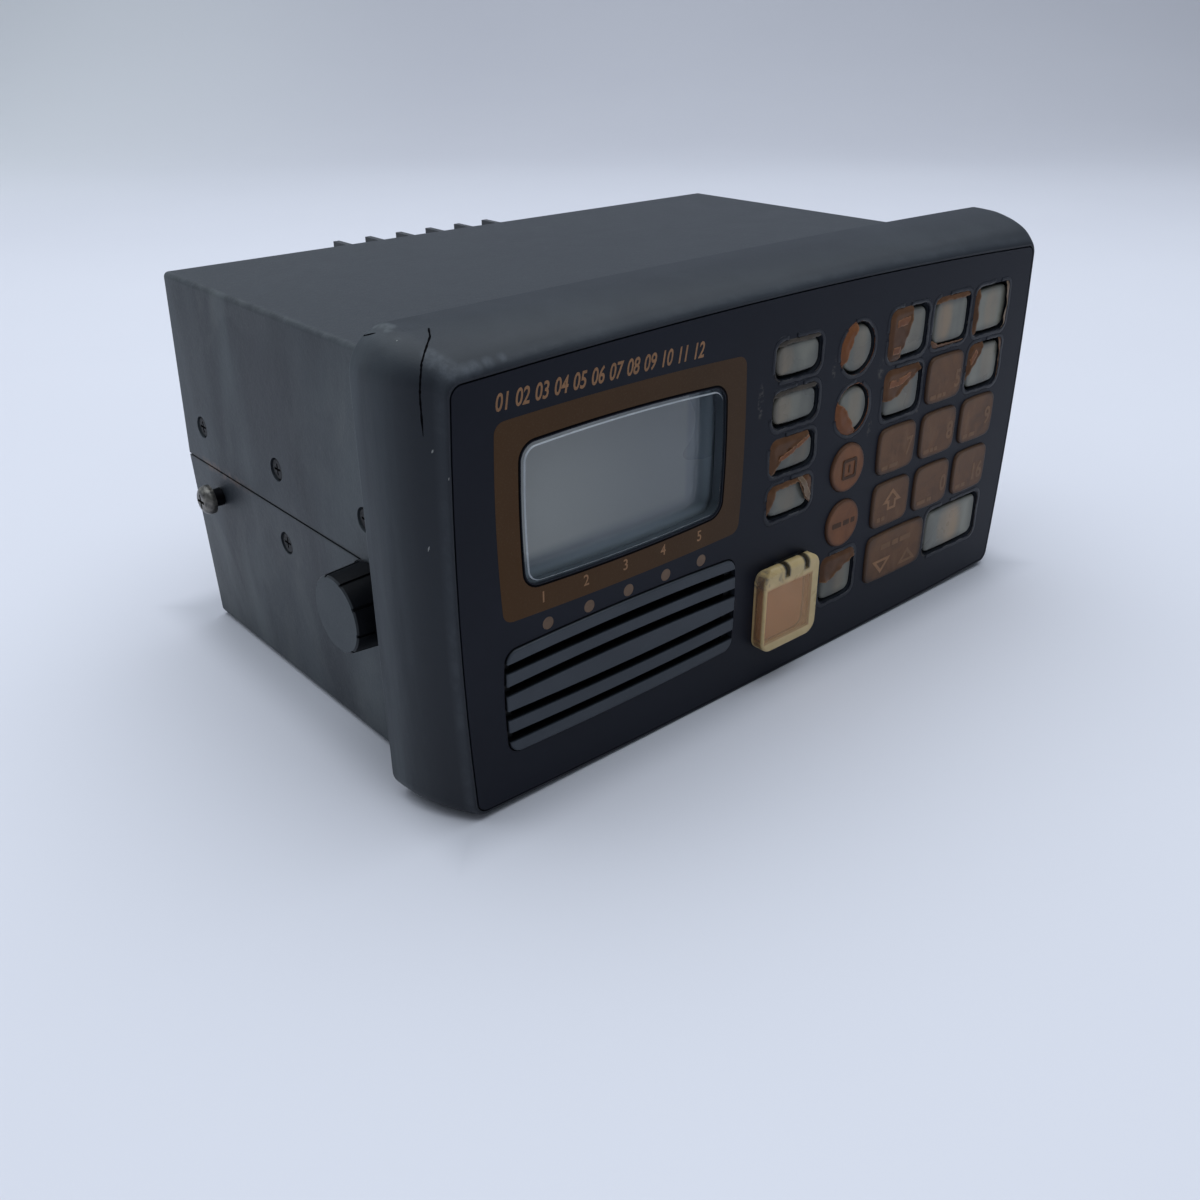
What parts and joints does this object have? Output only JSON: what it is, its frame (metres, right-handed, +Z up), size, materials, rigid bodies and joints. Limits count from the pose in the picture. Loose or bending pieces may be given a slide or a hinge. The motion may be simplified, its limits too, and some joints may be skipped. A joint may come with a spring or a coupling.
{
  "type": "vhf marine radio",
  "caption": "Fixed-mount marine VHF/DSC radio: metal box with rear cooling fins, bowed front panel with display, speaker grille, keypad, covered distress key and side clamp knobs",
  "frame": {"origin": "centre of the underside of the whole set's box, on the plane of its lowest point", "axes": "+X across the set to the right as the operator sees it, +Y from the front panel to the rear fins, +Z up"},
  "size_m": [0.2068, 0.1358, 0.1024],
  "materials": {
    "case": "satin dark slate grey paint, worn at the seam",
    "bezel": "semi-matte dark slate grey moulding",
    "overlay": "near-black printed film with a fine matte texture",
    "lens": "clear, slightly frosted",
    "lcd": "grey reflective cell",
    "backlight": "white diffuser",
    "lamp_window": "tan translucent",
    "lamp": "clear",
    "grille": "dark blue-grey",
    "steel_dark": "blackened",
    "steel": "plated",
    "cone": "coated paper",
    "magnet": "painted black",
    "rubber_mat": "silicone mat",
    "gasket": "black",
    "board": "green solder mask",
    "key_cap": "translucent smoky white cap",
    "key_film": "brown embossed film",
    "key_film_orange": "copper-orange embossed film",
    "cover": "yellowed clear, cream at the edges",
    "brass": "dull",
    "nickel": "nickel plated",
    "black_plastic": "black moulding",
    "knob": "dark grey moulding",
    "sink": "black painted"
  },
  "bodies": {
    "set": {"upper_case": "case", "lower_case": "case", "front_bezel": "bezel", "front_overlay": "overlay", "display_window": "lens", "display_panel": "lcd", "display_backlight": "backlight", "indicator_windows": "lamp_window", "indicator_lamps": "lamp", "speaker_grille": "grille", "speaker_frame": "steel_dark", "speaker_cone": "cone", "speaker_magnet": "magnet", "keypad_mat": "rubber_mat", "front_circuit_board": "board", "bezel_gasket": "gasket", "cover_hinge_base": "black_plastic", "cover_hinge_pin": "steel", "rear_heat_sink": "sink", "antenna_socket": "nickel", "power_inlet_gland": "black_plastic", "data_socket": "nickel", "main_circuit_board": "board", "shield_can": "steel", "power_amplifier": "steel", "case_screws": "steel_dark", "board_screws": "steel", "knob_inserts": "brass", "bracket_bolts": "steel_dark"},
    "moving_key_soft_1": {"key_soft_1": "key_cap"},
    "moving_key_soft_2": {"key_soft_2": "key_cap"},
    "moving_key_soft_3": {"key_soft_3": "key_cap"},
    "moving_key_soft_4": {"key_soft_4": "key_cap"},
    "moving_key_round_1": {"key_round_1": "key_cap"},
    "moving_key_round_2": {"key_round_2": "key_cap"},
    "moving_key_round_3": {"key_round_3": "key_film_orange"},
    "moving_key_round_4": {"key_round_4": "key_film_orange"},
    "moving_key_square": {"key_square": "key_cap"},
    "moving_key_1": {"key_1": "key_cap"},
    "moving_key_2": {"key_2": "key_cap"},
    "moving_key_3": {"key_3": "key_cap"},
    "moving_key_4": {"key_4": "key_cap"},
    "moving_key_5": {"key_5": "key_film"},
    "moving_key_6": {"key_6": "key_cap"},
    "moving_key_7": {"key_7": "key_film"},
    "moving_key_8": {"key_8": "key_film"},
    "moving_key_9": {"key_9": "key_film"},
    "moving_key_shift": {"key_shift": "key_film"},
    "moving_key_0": {"key_0": "key_film"},
    "moving_key_16": {"key_16": "key_film"},
    "moving_key_wide_left": {"key_wide_left": "key_film"},
    "moving_key_wide_right": {"key_wide_right": "key_cap"},
    "moving_distress_key": {"distress_key": "key_film_orange"},
    "cover": {"distress_cover": "cover"},
    "washer_left": {"knob_washer_left": "steel"},
    "knob_left": {"clamp_knob_left": "knob", "knob_stud_left": "steel"},
    "washer_right": {"knob_washer_right": "steel"},
    "knob_right": {"clamp_knob_right": "knob", "knob_stud_right": "steel"}
  },
  "joints": [
    {"name": "press_key_soft_1", "type": "slide", "parent": "set", "child": "moving_key_soft_1", "axis": [0, 1, 0], "range_m": [0, 0.0008], "stiffness_N_per_m": 300, "springref_m": -0.001},
    {"name": "press_key_soft_2", "type": "slide", "parent": "set", "child": "moving_key_soft_2", "axis": [0, 1, 0], "range_m": [0, 0.0008], "stiffness_N_per_m": 300, "springref_m": -0.001},
    {"name": "press_key_soft_3", "type": "slide", "parent": "set", "child": "moving_key_soft_3", "axis": [0, 1, 0], "range_m": [0, 0.0008], "stiffness_N_per_m": 300, "springref_m": -0.001},
    {"name": "press_key_soft_4", "type": "slide", "parent": "set", "child": "moving_key_soft_4", "axis": [0, 1, 0], "range_m": [0, 0.0008], "stiffness_N_per_m": 300, "springref_m": -0.001},
    {"name": "press_key_round_1", "type": "slide", "parent": "set", "child": "moving_key_round_1", "axis": [0, 1, 0], "range_m": [0, 0.0008], "stiffness_N_per_m": 300, "springref_m": -0.001},
    {"name": "press_key_round_2", "type": "slide", "parent": "set", "child": "moving_key_round_2", "axis": [0, 1, 0], "range_m": [0, 0.0008], "stiffness_N_per_m": 300, "springref_m": -0.001},
    {"name": "press_key_round_3", "type": "slide", "parent": "set", "child": "moving_key_round_3", "axis": [0, 1, 0], "range_m": [0, 0.0008], "stiffness_N_per_m": 300, "springref_m": -0.001},
    {"name": "press_key_round_4", "type": "slide", "parent": "set", "child": "moving_key_round_4", "axis": [0, 1, 0], "range_m": [0, 0.0008], "stiffness_N_per_m": 300, "springref_m": -0.001},
    {"name": "press_key_square", "type": "slide", "parent": "set", "child": "moving_key_square", "axis": [0, 1, 0], "range_m": [0, 0.0008], "stiffness_N_per_m": 300, "springref_m": -0.001},
    {"name": "press_key_1", "type": "slide", "parent": "set", "child": "moving_key_1", "axis": [0, 1, 0], "range_m": [0, 0.0008], "stiffness_N_per_m": 300, "springref_m": -0.001},
    {"name": "press_key_2", "type": "slide", "parent": "set", "child": "moving_key_2", "axis": [0, 1, 0], "range_m": [0, 0.0008], "stiffness_N_per_m": 300, "springref_m": -0.001},
    {"name": "press_key_3", "type": "slide", "parent": "set", "child": "moving_key_3", "axis": [0, 1, 0], "range_m": [0, 0.0008], "stiffness_N_per_m": 300, "springref_m": -0.001},
    {"name": "press_key_4", "type": "slide", "parent": "set", "child": "moving_key_4", "axis": [0, 1, 0], "range_m": [0, 0.0008], "stiffness_N_per_m": 300, "springref_m": -0.001},
    {"name": "press_key_5", "type": "slide", "parent": "set", "child": "moving_key_5", "axis": [0, 1, 0], "range_m": [0, 0.0008], "stiffness_N_per_m": 300, "springref_m": -0.001},
    {"name": "press_key_6", "type": "slide", "parent": "set", "child": "moving_key_6", "axis": [0, 1, 0], "range_m": [0, 0.0008], "stiffness_N_per_m": 300, "springref_m": -0.001},
    {"name": "press_key_7", "type": "slide", "parent": "set", "child": "moving_key_7", "axis": [0, 1, 0], "range_m": [0, 0.0008], "stiffness_N_per_m": 300, "springref_m": -0.001},
    {"name": "press_key_8", "type": "slide", "parent": "set", "child": "moving_key_8", "axis": [0, 1, 0], "range_m": [0, 0.0008], "stiffness_N_per_m": 300, "springref_m": -0.001},
    {"name": "press_key_9", "type": "slide", "parent": "set", "child": "moving_key_9", "axis": [0, 1, 0], "range_m": [0, 0.0008], "stiffness_N_per_m": 300, "springref_m": -0.001},
    {"name": "press_key_shift", "type": "slide", "parent": "set", "child": "moving_key_shift", "axis": [0, 1, 0], "range_m": [0, 0.0008], "stiffness_N_per_m": 300, "springref_m": -0.001},
    {"name": "press_key_0", "type": "slide", "parent": "set", "child": "moving_key_0", "axis": [0, 1, 0], "range_m": [0, 0.0008], "stiffness_N_per_m": 300, "springref_m": -0.001},
    {"name": "press_key_16", "type": "slide", "parent": "set", "child": "moving_key_16", "axis": [0, 1, 0], "range_m": [0, 0.0008], "stiffness_N_per_m": 300, "springref_m": -0.001},
    {"name": "press_key_wide_left", "type": "slide", "parent": "set", "child": "moving_key_wide_left", "axis": [0, 1, 0], "range_m": [0, 0.0008], "stiffness_N_per_m": 300, "springref_m": -0.001},
    {"name": "press_key_wide_right", "type": "slide", "parent": "set", "child": "moving_key_wide_right", "axis": [0, 1, 0], "range_m": [0, 0.0008], "stiffness_N_per_m": 300, "springref_m": -0.001},
    {"name": "press_distress_key", "type": "slide", "parent": "set", "child": "moving_distress_key", "axis": [0, 1, 0], "range_m": [0, 0.0008], "stiffness_N_per_m": 300, "springref_m": -0.001},
    {"name": "lift_cover", "type": "hinge", "parent": "set", "child": "cover", "pos_m": [-0.00107, -0.0661, 0.03041], "axis": [-1, 0, 0], "range_deg": [0, 120], "stiffness_Nm_per_rad": 0.002, "springref_deg": -17.19},
    {"name": "unscrew_slide_left", "type": "slide", "parent": "set", "child": "washer_left", "axis": [-1, 0, 0], "range_m": [0, 0.0025]},
    {"name": "turn_knob_left", "type": "hinge", "parent": "washer_left", "child": "knob_left", "pos_m": [-0.098, -0.0297, 0.03911], "axis": [-1, 0, 0], "range_deg": [0, 1080]},
    {"name": "unscrew_slide_right", "type": "slide", "parent": "set", "child": "washer_right", "axis": [1, 0, 0], "range_m": [0, 0.0025]},
    {"name": "turn_knob_right", "type": "hinge", "parent": "washer_right", "child": "knob_right", "pos_m": [0.098, -0.0297, 0.03911], "axis": [1, 0, 0], "range_deg": [0, 1080]}
  ],
  "couplings": [
    {"joint": "unscrew_slide_left", "follows": "turn_knob_left", "m_per_rad": 0.00012732},
    {"joint": "unscrew_slide_right", "follows": "turn_knob_right", "m_per_rad": 0.00012732}
  ]
}
